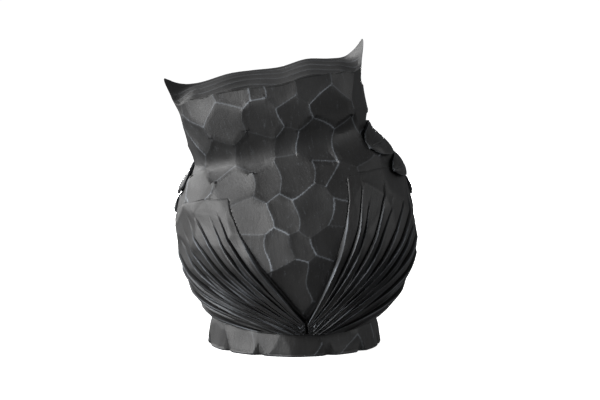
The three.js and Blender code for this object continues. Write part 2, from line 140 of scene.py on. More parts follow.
def bell(x, width):
    """1 where x is 0, and almost nothing at twice the width to either side."""
    return np.exp(-((x / width) ** 2))


def skin_radius(angle, height):
    depth = np.where(np.cos(angle) > 0, back_at(height), front_at(height))
    power = square_at(height)
    across = np.abs(np.sin(angle)) / side_at(height)
    along = np.abs(np.cos(angle)) / depth
    return (across**power + along**power) ** (-1 / power)


def on_skin(angle, height, offset=0.0):
    r = skin_radius(angle, height) + offset
    return np.stack([r * np.sin(angle), r * np.cos(angle), height + 0 * r], axis=-1)


print("half width at the shoulder and the neck:", side_at([74, 130]).round(1))

# %% The lean
SPINE_SHIFT = -8
SPINE_START = 18
SPINE_END = 136
TILT_LOW = math.radians(5.6)
TILT_HIGH = math.radians(11.8)
BEND_RADIUS = (SPINE_END - SPINE_START) / (TILT_HIGH - TILT_LOW)


def leaned(points):
    """Where points of the upright owl go when it is leaned over to its left."""
    x, y, z = np.moveaxis(points, -1, 0)
    inside = np.clip(z, SPINE_START, SPINE_END)
    share = (inside - SPINE_START) / (SPINE_END - SPINE_START)
    tilt = TILT_LOW + (TILT_HIGH - TILT_LOW) * share
    spine_x = BEND_RADIUS * (math.cos(TILT_LOW) - np.cos(tilt)) + (z - inside) * np.sin(tilt)
    spine_z = BEND_RADIUS * (np.sin(tilt) - math.sin(TILT_LOW)) + (z - inside) * np.cos(tilt)
    return np.stack(
        [
            SPINE_SHIFT + spine_x + x * np.cos(tilt),
            y,
            SPINE_START + spine_z - x * np.sin(tilt),
        ],
        axis=-1,
    )


top_of_spine = leaned(np.array([0.0, 0.0, 184.5]))
print("the top of the spine is", top_of_spine.round(1), "mm from the middle of the foot")

# %% [markdown]
# ## The crown
# The top of the head is nearly flat, with a brow line that waves across it and sweeps up to the two
# ear tips. It is a height map over the head: the brow line across, and a fall behind it and in
# front of it. A height map keeps the ears sharp, which a subdivided box would round off. The carver
# finished the crown with long flat cuts that run from ear to ear, so those are cut into the map.

# %% Height of the crown
EAR_TIP = 184.5
# From the right ear tip to the left one: distance from the middle, and height above EAR_TIP.
brow_line = line_through(
    [-66, -60, -52, -42, -27, -9, 10, 25, 46, 57, 66],
    [2, -3.4, -7.8, -7.2, -4.4, -6, -4.3, -3.4, -5.2, -3, 2.8],
)
BROW_FORWARD = 38
EAR_FORWARD = 22
CROWN_FALL = 6.5
FOREHEAD_FALL = 9
EAR_FROM = 46
EAR_RISE = 13
EAR_HALF_THICKNESS = 15
CROWN_STRIPS = 4
CROWN_CUT = 1.1


def crown_place(x, y):
    """The crest's line, and how far a place is from it towards the rim, from 0 to 1."""
    ear = fade(np.abs(x), EAR_FROM, side_at(EAR_TIP))
    crest = -(BROW_FORWARD + (EAR_FORWARD - BROW_FORWARD) * ear)
    reach = np.where(y > crest, back_at(EAR_TIP) - crest, front_at(EAR_TIP) + crest)
    return ear, crest, np.abs(y - crest) / reach


def crown_height(x, y):
    ear, crest, away = crown_place(x, y)
    fall = np.where(y > crest, CROWN_FALL * away**1.8, FOREHEAD_FALL * away**1.5)
    from_tip = ((y - crest) / EAR_HALF_THICKNESS) ** 2
    return EAR_TIP + brow_line(x) - fall - EAR_RISE * ear * from_tip / (1 + from_tip)


def crown_strips(x, y):
    """How deep the long cuts are at a place on the crown, and how near to the ridge of one."""
    _ear, _crest, away = crown_place(x, y)
    wave = 0.22 * np.sin(x / 15 + 1) + 0.13 * np.sin(x / 6.5)
    over = (away * CROWN_STRIPS + wave * fade(away, 0.05, 0.4)) % 1
    from_ridge = np.minimum(over, 1 - over)
    depth = CROWN_CUT * (1 - (2 * over - 1) ** 2) * fade(away, 0, 0.1)
    return depth, 1 - fade(from_ridge, 0, 0.09)


print("crown height over the middle:", crown_height(0.0, 0.0).round(1))

# %% [markdown]
# ## Sheets
# Every carved surface starts as a flat grid primitive. Its squares are then moved to their places
# on the form, as a thin sheet of clay is pressed onto a core. The grid is fine enough, at about a
# millimetre, for a gouge mark to be real geometry. Dynamic-topology sculpting would do the same by
# hand, but it can't be repeated exactly.

# %% A grid moved onto the form
def deselect():
    for thing in bpy.context.selected_objects:
        thing.select_set(False)


def pick(piece):
    deselect()
    piece.select_set(True)
    bpy.context.view_layer.objects.active = piece


def edit_all(piece):
    """Opens a piece for editing, with all of it selected."""
    pick(piece)
    bpy.ops.object.mode_set(mode="EDIT")
    bpy.ops.mesh.select_all(action="SELECT")


def stop_editing():
    bpy.ops.object.mode_set(mode="OBJECT")


def sheet(name, columns, rows, place):
    """A grid whose vertex at (u, v), each from 0 to 1, is moved to place(u, v) in millimetres.

    place also gives the named marks, one number or vector to a vertex, that the finish reads."""
    deselect()
    bpy.ops.mesh.primitive_grid_add(x_subdivisions=columns, y_subdivisions=rows, size=2)
    piece = bpy.context.object
    piece.name = name
    mesh = piece.data
    flat = np.empty(len(mesh.vertices) * 3, np.float32)
    mesh.vertices.foreach_get("co", flat)
    uv = (flat.reshape(-1, 3)[:, :2] + 1) / 2
    order = np.lexsort((uv[:, 0].round(5), uv[:, 1].round(5)))
    grid = uv[order].reshape(rows + 1, columns + 1, 2)
    points, marks = place(grid[..., 0], grid[..., 1])
    placed = np.empty((len(order), 3))
    placed[order] = points.reshape(-1, 3) * MM
    mesh.vertices.foreach_set("co", placed.ravel().astype(np.float32))
    for mark, values in marks.items():
        width = values.shape[2:]
        ordered = np.empty((len(order), *width), np.float32)
        ordered[order] = values.reshape(-1, *width)
        kind, field = ("FLOAT_VECTOR", "vector") if width else ("FLOAT", "value")
        mesh.attributes.new(mark, kind, "POINT").data.foreach_set(field, ordered.ravel())
    mesh.update()
    return piece


def sheet_normals(points):
    """Outward unit normals of a grid of points that runs round, then up."""
    across = np.gradient(points, axis=1)
    up = np.gradient(points, axis=0)
    normal = np.cross(across, up)
    length = np.linalg.norm(normal, axis=-1, keepdims=True)
    return normal / np.maximum(length, 1e-9)


def close_up(piece, merge=0.02):
    """Joins the seams and poles of a sheet that closes on itself, and turns its faces outwards."""
    edit_all(piece)
    bpy.ops.mesh.remove_doubles(threshold=merge * MM)
    bpy.ops.mesh.normals_make_consistent(inside=False)
    stop_editing()
    bpy.ops.object.shade_smooth()
    print(piece.name, "has", len(piece.data.polygons), "faces")


# %% [markdown]
# ## Gouge cuts
# A carver leaves the surface as shallow scoops that meet in ridges. Each scoop deepens with the
# square of the distance from its own centre, and the surface is the deepest scoop at each point,
# so the ridges fall where two scoops are equally deep. A cut also turns the curved form under it
# part of the way into a plane, as a real gouge does. A Voronoi texture on a Displace modifier makes
# much the same cells, but not where the carver put them. Vertices near a ridge are drawn onto it,
# which keeps it as a clean edge.

# %% Scoops over a grid of points
SCOOP_CURVE = 1 / 190  # how fast a scoop rises from its centre, per millimetre
FLATTENED = 0.42  # how far a cut turns the curved form under it into a plane, from 0 to 1
STROKE = np.array([1, 1, 0.93])  # strokes run up and down, so a scoop rises more slowly that way
SCOOP_FLOOR = 1.0  # how far under the form the middle of a scoop is
PLANE_REACH = 1.8  # the most that a place counts as off its cut's plane
RIDGE_SHARED = 3  # within this distance of a ridge, the planes on its two sides are blended
RIDGE_REACH = 0.6  # vertices this near a ridge are drawn onto it
LEAST_WEIGHT = 0.3  # where cuts are faded below this, they have no ridges
LEAST_WORN = 0.15  # the share of wear that even the freshest ridge has
WANDER = 1.5  # ridges bend this far off straight lines
WANDER_LENGTH = 27  # from one bend to the next
CHUNK = 16384  # points worked out at once, to save memory


def nearest_scoops(points, centres, depths):
    """The two deepest scoops at each point: their depths, and their numbers."""
    points = points + WANDER * np.sin(points[:, [2, 0, 1]] * (2 * math.pi / WANDER_LENGTH))
    values = np.empty((len(points), 2))
    numbers = np.empty((len(points), 2), int)
    for start in range(0, len(points), CHUNK):
        part = points[start : start + CHUNK]
        away = (((part[:, None, :] - centres[None, :, :]) * STROKE) ** 2).sum(-1)
        height = SCOOP_CURVE * away - depths
        two = np.argpartition(height, 1, axis=1)[:, :2]
        pair = np.take_along_axis(height, two, axis=1)
        swap = pair[:, 0] > pair[:, 1]
        two[swap] = two[swap][:, ::-1]
        pair[swap] = pair[swap][:, ::-1]
        numbers[start : start + CHUNK] = two
        values[start : start + CHUNK] = pair
    return values, numbers


def form_normals(places):
    """Outward unit normals of the upright form at places on it."""
    angle, height = np.arctan2(places[:, 0], places[:, 1]), places[:, 2]
    across = on_skin(angle - 0.02, height) - on_skin(angle + 0.02, height)
    up = on_skin(angle, height + 1) - on_skin(angle, height - 1)
    normal = np.cross(across, up)
    return normal / np.linalg.norm(normal, axis=1, keepdims=True)


def across_ridges(values, numbers, centres):
    """The way across the nearest ridge, as a unit vector, and how far each point is from it."""
    apart = (centres[numbers[:, 1]] - centres[numbers[:, 0]]) * STROKE**2
    gap = np.linalg.norm(apart, axis=1)
    return apart / gap[:, None], (values[:, 1] - values[:, 0]) / (2 * SCOOP_CURVE * gap)


def cut_heights(points, centres, depths, facing):
    """How far the cuts move each point along its normal, and the number of the cut it is in.

    facing holds the normal of the form at each cut's centre."""
    values, numbers = nearest_scoops(points, centres, depths)
    _across, to_ridge = across_ridges(values, numbers, centres)
    first, second = (
        ((points - centres[number]) * facing[number]).sum(1) for number in numbers.T
    )
    shared = 0.5 * np.clip(1 - to_ridge / RIDGE_SHARED, 0, 1)
    above_plane = np.clip(first + (second - first) * shared, -PLANE_REACH, PLANE_REACH)
    return values[:, 0] - SCOOP_FLOOR - FLATTENED * above_plane, numbers[:, 0]


def chance(numbers, salt):
    """A fixed number from 0 to 1 for each whole number, the same on every run."""
    return np.modf(np.abs(np.sin(numbers * 12.9898 + salt * 78.233)) * 43758.5453)[0]


def scooped(points, normals, centres, depths, facing, weight):
    """Cuts scoops into a grid of points. Gives the new points and the marks for the finish."""
    shape = points.shape[:-1]
    flat = points.reshape(-1, 3)
    straight = normals.reshape(-1, 3)
    weight = np.broadcast_to(weight, shape).reshape(-1, 1)
    values, numbers = nearest_scoops(flat, centres, depths)
    across, to_ridge = across_ridges(values, numbers, centres)
    near = (to_ridge < RIDGE_REACH) & (weight[:, 0] > LEAST_WEIGHT)
    across -= (across * straight).sum(1, keepdims=True) * straight
    flat = flat + np.where(near, to_ridge, 0)[:, None] * across
    cut, _own = cut_heights(flat, centres, depths, facing)
    cut = cut[:, None] * weight
    pair = np.sort(numbers, axis=1)
    rubbed = chance(pair[:, 0] * 57 + pair[:, 1], 1)
    marks = {
        "ridge": near.reshape(shape),
        "wear_and_highlight": (near * (LEAST_WORN + (1 - LEAST_WORN) * rubbed**1.8)).reshape(shape),
        "tone": chance(numbers[:, 0], 2).reshape(shape),
        "hollow": np.zeros(shape),
    }
    return (flat + straight * cut).reshape(points.shape), marks


def sharpen_ridges(piece, degrees):
    """Gives the vertices on ridges an edge between them, and shades such edges sharp."""
    pick(piece)
    ridge = np.empty(len(piece.data.vertices), np.float32)
    piece.data.attributes["ridge"].data.foreach_get("value", ridge)
    bpy.ops.object.mode_set(mode="EDIT")
    bpy.ops.mesh.select_mode(type="VERT")
    bpy.ops.mesh.select_all(action="DESELECT")
    stop_editing()
    piece.data.vertices.foreach_set("select", ridge > 0.5)
    bpy.ops.object.mode_set(mode="EDIT")
    bpy.ops.mesh.vert_connect()
    stop_editing()
    bpy.ops.object.shade_smooth_by_angle(angle=math.radians(degrees))


print("a scoop rises 1 mm at", round(SCOOP_CURVE**-0.5, 1), "mm to either side of its centre")

# %% [markdown]
# ## The wing's own coordinates
# A wing is a fan that starts at the tail and opens to the shoulder, so a place on it is a share of
# the fan and a share of the feather's length. They come before the body, because the body is
# hollowed out a little under each wing, as a joiner lets in a panel.

# %% The fan's own coordinates
fan_angle = line_through(
    [0, 0.26, 0.5, 0.7, 0.86, 1], np.radians([39, 61, 86, 110, 126, 122])
)
fan_height = line_through([0, 0.26, 0.5, 0.7, 0.86, 1], [110, 111, 107, 96, 68, 12])
TAIL_HALF_GAP = math.radians(0.9)
TAIL_TOP = 21.5
TAIL_BOTTOM = 10
FAN_SAG = 22


def on_fan(share, along):
    """The angle and height of a place on the wing, from its share of the fan and of the length."""
    start = (TAIL_HALF_GAP + 0 * share, TAIL_TOP + (TAIL_BOTTOM - TAIL_TOP) * share)
    end = (fan_angle(share), fan_height(share))
    sag = FAN_SAG * np.maximum(0, np.sin(math.pi * (0.2 + 0.8 * share)))
    middle = ((start[0] + end[0]) / 2, (start[1] + end[1]) / 2 - sag)
    left = 1 - along
    return [
        left**2 * a + 2 * left * along * b + along**2 * c
        for a, b, c in zip(start, middle, end)
    ]


print("each fan opens to", np.degrees(fan_angle(1)).round(1), "degrees from the middle of the back")

# %% The pocket under a wing
POCKET_DEPTH = 4.6
POCKET_EDGE = 1.5  # the pocket's floor reaches this far from the sampled places, and its wall as far
POCKET_SAMPLES = 56
wing_footprint = KDTree(2 * POCKET_SAMPLES**2)
share_steps, along_steps = np.meshgrid(
    np.linspace(0, 0.97, POCKET_SAMPLES), np.linspace(0.08, 0.955, POCKET_SAMPLES)
)
# The pocket stays inside the wing's inner edge, and further inside where the fan is narrow.
share_steps += (1 - share_steps) * (0.03 + 0.12 * (1 - along_steps) ** 2)
for x, y, z in on_skin(*on_fan(share_steps, along_steps)).reshape(-1, 3):
    wing_footprint.insert((x, y, z), 0)
    wing_footprint.insert((-x, y, z), 0)
wing_footprint.balance()


def pocket_depth(points):
    away = [wing_footprint.find(point)[2] for point in points.reshape(-1, 3)]
    away = np.array(away).reshape(points.shape[:-1])
    return POCKET_DEPTH * (1 - fade(away, POCKET_EDGE, 2 * POCKET_EDGE))


print("the wings' pockets are", POCKET_DEPTH, "mm deep, from", 2 * POCKET_SAMPLES**2, "sampled places")


# %% [markdown]
# ## Head and body
# One block of wood, so one sheet: up the sides from the foot to the edge of the crown, and on over
# the crown to its middle. The gouge cuts go round it in staggered rows about 20 mm apart, with the
# larger and brighter ones of the back of the head listed one by one. The breast has smaller cuts,
# like overlapping feathers.

# %% Where the gouge cuts go
CUT_SPACING = 20.5
FIRST_CUT_ROW = 14
LAST_CUT_ROW = 176
BREAST_CUT_SPACING = 11.5
BREAST_FROM_DEG = 118
BREAST_BOTTOM = 28
BREAST_TOP = 122
BREAST_MARGIN = 5  # the large cuts stop this far above the small ones
BREAST_CUT_DEPTH = -0.65
BREAST_DEPTH_JITTER = 0.3
BREAST_CUT_JITTER = 2.4
CUT_JITTER = 5.5
DEPTH_JITTER = 0.8
PLACED_CLEAR = 14  # no other cut comes nearer than this to one that is listed one by one
PLACED_RAISED = 0.5  # listed cuts are this much less deep than their listed depth
random.seed(11)


def jittered(size):
    return random.uniform(-size, size)


def rows_of_cuts(low, high, spacing, angle_from, angle_to, jitter):
    """Staggered rows of cuts on the form, as (angle, height)."""
    cuts = []
    rows = round((high - low) / (spacing * 0.87))
    for row in range(rows + 1):
        height = low + (high - low) * row / rows
        girth = float(skin_radius(math.pi / 3, height))
        count = max(1, round((angle_to - angle_from) * girth / spacing))
        for i in range(count):
            share = (i + 0.5 * (row % 2) + 0.25) / count
            angle = angle_from + (angle_to - angle_from) * share
            cuts.append((angle + jittered(jitter) / girth, height + jittered(jitter)))
    return cuts


# Cuts that are listed one by one on the back of the head and the upper back: degrees, height, depth.
PLACED_CUTS = [
    (47, 168, 0.7),
    (27, 170, 0.8),
    (10, 168, 0.2),
    (-9, 168, 0.6),
    (-30, 168, 0.8),
    (-50, 166, 0.3),
    (32, 154, 1.1),
    (10, 151, 0.9),
    (-16, 152, 0.5),
    (-40, 150, 0.8),
    (56, 150, 0.4),
    (44, 134, 0.6),
    (20, 133, 0.9),
    (-6, 133, 0.2),
    (-30, 131, 0.8),
    (34, 113, 0.9),
    (14, 114, 0.6),
    (-7, 114, 0.8),
    (-25, 112, 0.3),
    (24, 94, 0.9),
    (4, 94, 0.4),
    (-15, 93, 1.0),
]


def body_cuts():
    turn = 2 * math.pi
    breast = math.radians(BREAST_FROM_DEG)
    spread = rows_of_cuts(FIRST_CUT_ROW, LAST_CUT_ROW, CUT_SPACING, 0, turn, CUT_JITTER)
    small = rows_of_cuts(
        BREAST_BOTTOM, BREAST_TOP, BREAST_CUT_SPACING, breast, turn - breast, BREAST_CUT_JITTER
    )
    placed = [on_skin(np.radians(a), h) for a, h, _ in PLACED_CUTS]
    centres = []
    for angle, height in spread:
        on_breast = (
            breast < angle % turn < turn - breast and height < BREAST_TOP + BREAST_MARGIN
        )
        centre = on_skin(angle, height)
        if not on_breast and min(np.linalg.norm(centre - p) for p in placed) > PLACED_CLEAR:
            centres.append(centre)
    depths = [jittered(DEPTH_JITTER) for _ in centres]
    centres += placed + [on_skin(a, h) for a, h in small]
    depths += [depth - PLACED_RAISED for *_, depth in PLACED_CUTS]
    depths += [BREAST_CUT_DEPTH + jittered(BREAST_DEPTH_JITTER) for _ in small]
    return np.array(centres), np.array(depths)


cut_centres, cut_depths = body_cuts()
cut_facing = form_normals(cut_centres)
print(len(cut_centres), "gouge cuts on the head and body")

# %% The face's carved discs
EYE_SPREAD = 26
EYE_HEIGHT = 155
DISC_RADIUS = 23.5
DISC_HOLLOW = 6.5
DISC_CUTS = 22
DISC_CUT_DEPTH = 1.1
DISC_CUTS_FROM = 9  # from the eye's middle, where the cuts start
DISC_CUTS_FULL = 13  # and where they are at their deepest
LID_RADIUS = 12
LID_RISE = 1.6
LID_WIDTH = 1.3
eye_angle = math.pi - math.atan2(EYE_SPREAD, float(front_at(EYE_HEIGHT)))
FACE_FORWARD = -float(on_skin(eye_angle, EYE_HEIGHT)[1])
BOWL_RADIUS = (DISC_RADIUS**2 + DISC_HOLLOW**2) / (2 * DISC_HOLLOW)


def carve_discs(points, marks):
    """Sinks a bowl round each eye, with cuts that fan out from the eye."""
    x, y, z = np.moveaxis(points, -1, 0)
    for side in (1, -1):
        across = x - side * EYE_SPREAD
        up = z - EYE_HEIGHT
        from_eye = np.hypot(across, up)
        inside = (y < 0) & (from_eye < BOWL_RADIUS * 0.98)  # a little short of the bowl's steep rim
        floor = (
            DISC_HOLLOW
            - FACE_FORWARD
            - BOWL_RADIUS
            + np.sqrt(np.maximum(BOWL_RADIUS**2 - from_eye**2, 0))
        )
        fan = (np.arctan2(up, across) * DISC_CUTS / (2 * math.pi)) % 1
        flute = (2 * np.abs(fan - 0.5)) ** 2
        depth = fade(from_eye, DISC_CUTS_FROM, DISC_CUTS_FULL)
        depth = depth * (1 - fade(from_eye, DISC_RADIUS - 3, DISC_RADIUS + 2))
        depth = depth * (1 - fade(up, 15, 21))
        lid = LID_RISE * bell(from_eye - LID_RADIUS, LID_WIDTH)
        floor = floor - DISC_CUT_DEPTH * depth * flute - lid
        sunk = inside & (y < floor)
        y = np.where(sunk, floor, y)
        # In the disc, the troughs between its cuts are darkened with painted shade, and their ridges
        # lightened with wear.
        in_disc = {
            "wear_and_highlight": 0.7 * depth * flute**6,
            "ridge": 0,
            "tone": 0.4,
            "hollow": 0.4 * (1 - flute) * depth,
        }
        for mark, value in in_disc.items():
            marks[mark] = np.where(sunk, value, marks[mark])
    return np.stack([x, y, z], axis=-1)


print("the discs are", DISC_HOLLOW, "mm deep, with", DISC_CUTS, "cuts in each")

# %% The block itself
BLOCK_FROM = 6
BLOCK_AROUND = 440
BLOCK_UP = 206
CROWN_SHARE = 0.2  # of the rows, how many are on the crown
CROWN_FROM = 0.03  # how far in from the rim the crown's own wear, with its painted crest highlight, and its darker painted-shade tone start
CREST_HIGHLIGHT_WIDTH = 2
EDGE_TRIES = 12
RIDGE_SHARPER_THAN = 9  # degrees between two faces, from which their edge is shaded sharp
FOOT_HEIGHT = 15
GLUE_GAP = 0.3
SHOULDER_RISE = 4.6  # the foot reaches this much further up at its sides


def crown_edge(angle):
    """Height at which the sides meet the crown, found by halving the difference again and again."""
    height = np.full(angle.shape, EAR_TIP - 6)
    for _ in range(EDGE_TRIES):
        x, y, _z = np.moveaxis(on_skin(angle, height), -1, 0)
        height = 0.5 * height + 0.5 * crown_height(x, y)
    return height


def place_block(u, v):
    angle = -2 * math.pi * u
    edge = crown_edge(angle)
    up = np.clip(v / (1 - CROWN_SHARE), 0, 1)
    inward = np.clip((v - (1 - CROWN_SHARE)) / CROWN_SHARE, 0, 1)
    height = BLOCK_FROM + (edge - BLOCK_FROM) * up
    points = on_skin(angle, height)
    points[..., :2] *= (1 - inward)[..., None]
    x, y = points[..., 0], points[..., 1]
    depth, on_ridge = crown_strips(x, y)
    on_crown = crown_height(x, y) - depth * fade(inward, 0, 0.06)
    points[..., 2] = np.where(inward > 0, on_crown, height)
    normals = sheet_normals(points)
    at_ear = fade(np.abs(x), 50, 60) * fade(height, 160, 172)
    weight = (1 - fade(inward, 0, CROWN_FROM)) * (1 - 0.8 * at_ear)
    pocket = pocket_depth(points)
    points, marks = scooped(points, normals, cut_centres, cut_depths, cut_facing, weight)
    points = points - normals * pocket[..., None]
    _ear, crest, _away = crown_place(x, y)
    # A light line along the crest, mixed into the wear of the crown's cut ridges: a painted highlight
    # where the top catches a grazing reflection.
    crest_highlight = bell(y - crest, CREST_HIGHLIGHT_WIDTH)
    on_ridge = 0.6 * on_ridge + 0.5 * crest_highlight
    marks["wear_and_highlight"] = np.where(inward > CROWN_FROM, on_ridge, marks["wear_and_highlight"])
    # The crown gets one fixed stain tone, darker than most facets: painted shade for its dark top.
    marks["tone"] = np.where(inward > CROWN_FROM, 0.25, marks["tone"])
    points = carve_discs(points, marks)
    marks["lay"] = points * MM
    return leaned(points), marks


def saw_level(piece, height, slope=0.0):
    """Cuts off what lies below a height, or below a plane that slopes down to the back, and
    closes the cut."""
    edit_all(piece)
    bpy.ops.mesh.bisect(
        plane_co=(0, 0, height * MM),
        plane_no=(0, math.sin(slope), math.cos(slope)),
        use_fill=True,
        clear_inner=True,
    )
    stop_editing()


block = sheet("carved_head_and_body", BLOCK_AROUND, BLOCK_UP, place_block)
close_up(block)
saw_level(block, FOOT_HEIGHT + GLUE_GAP)
sharpen_ridges(block, RIDGE_SHARPER_THAN)
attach(block, "root")
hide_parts("head_and_body_block")

# %% [markdown]
# ## Wings
# Each wing is a fan of long feathers that start together at the tail. A feather has one crisp edge,
# on the side of the owl's spine, that stands above its neighbour, and slopes away from it to a
# V-cut under the next edge, whose bottom is darkened with painted shade. Every other cut dies out
# on its way to the tail, where the feathers get too narrow. The grid's lines follow the feathers, so
# each edge is a line of the mesh.

# %% Feathers
FEATHER_WIDTHS = np.array([1.2, 0.85, 1.15, 0.9, 1.15, 0.85, 1.1, 0.9, 1.1, 0.9, 1.0])
FEATHERS = len(FEATHER_WIDTHS)
FEATHER_STARTS = np.insert(np.cumsum(FEATHER_WIDTHS), 0, 0) / FEATHER_WIDTHS.sum()
WING_ROWS = 180
WING_PROUD = 4.7  # of the feathers' high edges
WING_LIP = 1.0  # most of its outline dips this far under the body, so that it leaves no step
GROOVE_DEPTH = 4.2
SLIT_DEPTH = 2.1  # of the grooves' narrow far ends, where the wing is flush with the body
WING_THICKNESS = 4.2
FADED_GROOVE = 0.2  # what is left near the tail of a groove that dies out
FLUTE_HEIGHT = 0.14  # of the shallow flutes along each feather
KNIFE_HEIGHT = 0.1  # of the knife's wavering across it
# Across one feather: how far over, and how high, from the bottom of its groove to the next.
feather_profile = line_through(
    [0, 0.03, 0.065, 0.1, 0.2, 0.5, 0.8, 0.92, 0.97, 1],
    [0, 0.4, 0.88, 1, 0.95, 0.74, 0.52, 0.36, 0.12, 0],
)
# The same places, where the grid gets its lines: they crowd round the high edge and the groove.
PROFILE_COLUMNS = np.array(
    [0, 0.02, 0.045, 0.07, 0.1, 0.15, 0.22, 0.32, 0.44, 0.57, 0.7, 0.81, 0.9, 0.955, 1]
)
COLUMNS_PER_FEATHER = len(PROFILE_COLUMNS) - 1


def feather_columns(u):
    """Spreads the grid's columns so that each feather's edge and groove get lines of their own."""
    place = u * FEATHERS * COLUMNS_PER_FEATHER
    number = np.minimum(place // COLUMNS_PER_FEATHER, FEATHERS - 1).astype(int)
    column = np.round(place - number * COLUMNS_PER_FEATHER).astype(int)
    within = PROFILE_COLUMNS[column]
    share = FEATHER_STARTS[number] + within * (FEATHER_STARTS[number + 1] - FEATHER_STARTS[number])
    return number, within, share


def groove_strength(number, along, end):
    """How deep a groove is at a place along it: each fades out at its far end, and the odd ones
    also on their way to the tail."""
    near_tail = FADED_GROOVE + (1 - FADED_GROOVE) * fade(along, 0.2, 0.5)
    return np.where(number % 2 == 1, near_tail, 1) * (1 - fade(along, end - 0.2, end))


def wing_place(side, seed):
    random.seed(seed)
    ends = np.array([random.uniform(0.86, 0.99) for _ in range(FEATHERS + 1)])
    phase = np.array([random.uniform(0, 6.28) for _ in range(FEATHERS + 1)])

    def place(u, v):
        number, within, share = feather_columns(u)
        along = v**0.85
        sway = 0.0025 * np.sin(along * 7 + phase[number]) * fade(along, 0.1, 0.5)
        angle, height = on_fan(share + sway * (1 - within), along)
        feather_width = skin_radius(angle, height) * (fan_angle(1) / FEATHERS) * along * 1.6
        scale = np.clip(0.3 + feather_width / 12, 0.3, 1)
        end = ends[number] + (ends[number + 1] - ends[number]) * within
        own = groove_strength(number, along, end)
        strength = own + (groove_strength(number + 1, along, end) - own) * fade(within, 0.15, 0.95)
        high = feather_profile(within)
        flute = FLUTE_HEIGHT * np.sin(within * math.pi * 3 + 0.4) * fade(along, 0.15, 0.4)
        knife = KNIFE_HEIGHT * np.sin(along * 27 + phase[number] * 3) * np.sin(within * math.pi)
        from_groove = np.minimum(within, 1 - within)
        slit = -SLIT_DEPTH * np.clip(1 - from_groove / 0.1, 0, 1)
        flush = fade(along, end - 0.42, end - 0.06)
        feather = GROOVE_DEPTH * (high - 1) + flute + knife
        relief = strength * scale * (feather + (slit - feather) * flush)
        upright = on_skin(angle, height)
        upright[..., 0] *= side
        cut, numbers = cut_heights(upright.reshape(-1, 3), cut_centres, cut_depths, cut_facing)
        scoop = cut.reshape(flush.shape) * (0.25 + 0.75 * flush)
        border = np.maximum(fade(along, 0.965, 1), 1 - fade(share, 0, 0.012))
        border = np.maximum(border, fade(share, 0.96, 1))
        raised = WING_PROUD * (1 - flush) + relief + scoop
        offset = raised + (cut.reshape(flush.shape) - WING_LIP - raised) * border + 0.05
        points = on_skin(angle, height, offset)
        points[..., 0] *= side
        high_edge = bell(within - 0.1, 0.045)
        low_edge = bell(within - 0.87, 0.04)
        rubbed = 0.55 + 0.45 * np.sin(along * 9 + phase[number]) ** 2
        marks = {
            "wear_and_highlight": (high_edge + 0.4 * low_edge) * strength * rubbed,
            "tone": chance(number + side, seed) * (1 - flush)
            + chance(numbers, 2).reshape(flush.shape) * flush,
            # Painted shade: the colour is darkened along the bottom of each groove.
            "hollow": (1 - fade(from_groove, 0.01, 0.1)) * strength**0.5,
            "lay": np.stack([share * 0.2, 0 * share, along * 0.15], axis=-1),
        }
        return leaned(points), marks

    return place


def thicken(sheet_piece, thickness, faces_in):
    """Gives a sheet a wall behind it, after its faces are turned outwards if they face in."""
    pick(sheet_piece)
    if faces_in:
        edit_all(sheet_piece)
        bpy.ops.mesh.flip_normals()
        stop_editing()
    solid = sheet_piece.modifiers.new("thickness", "SOLIDIFY")
    solid.thickness = thickness * MM
    solid.offset = -1
    bpy.ops.object.modifier_apply(modifier=solid.name)


WING_SAW_SLOPE = math.radians(5)  # the wings end lower at the back than at the sides
WING_SHARP_DEG = 28


def make_wing(name, side, seed):
    columns = FEATHERS * COLUMNS_PER_FEATHER
    wing = sheet(f"carved_{name}", columns, WING_ROWS, wing_place(side, seed))
    thicken(wing, WING_THICKNESS, side > 0)
    close_up(wing, merge=0.001)
    saw_level(wing, FOOT_HEIGHT + SHOULDER_RISE, WING_SAW_SLOPE)
    bpy.ops.object.shade_smooth_by_angle(angle=math.radians(WING_SHARP_DEG))
    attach(wing, "root")
    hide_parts(name)
    return wing


wings = [make_wing("left_wing", 1, 3), make_wing("right_wing", -1, 8)]

# %% [markdown]
# ## Shoulder feathers
# Short rounded feathers lie over the root of each wing, undercut so that they throw a dark shadow.
# Each is a small domed leaf with a blunt tip, a raised middle and thin edges. They differ in size
# from side to side, as hand-cut feathers do.

# %% Coverts
# Angle and height of the tip and of the root, width, and thickness.
COVERTS = {
    "left": [
        ((79, 117.5), (122, 126), 17, 2.8),
        ((90, 102.5), (129, 108), 13, 2.2),
        ((103, 89), (138, 94), 12, 1.8),
    ],
    "right": [
        ((62, 121), (112, 127.5), 20, 3.8),
        ((69, 104.5), (122, 108.5), 15, 3),
        ((88, 90), (134, 94), 14, 2),
    ],
}
COVERT_REST = 0.3
COVERT_LIFT = 0.3
COVERT_SINK = 4.5  # its root goes this far into the body
COVERT_COLUMNS = 36
COVERT_ROWS = 50
leaf_width = line_through([0, 0.04, 0.12, 0.35, 0.7, 1], [0.05, 0.2, 0.37, 0.5, 0.46, 0.3])


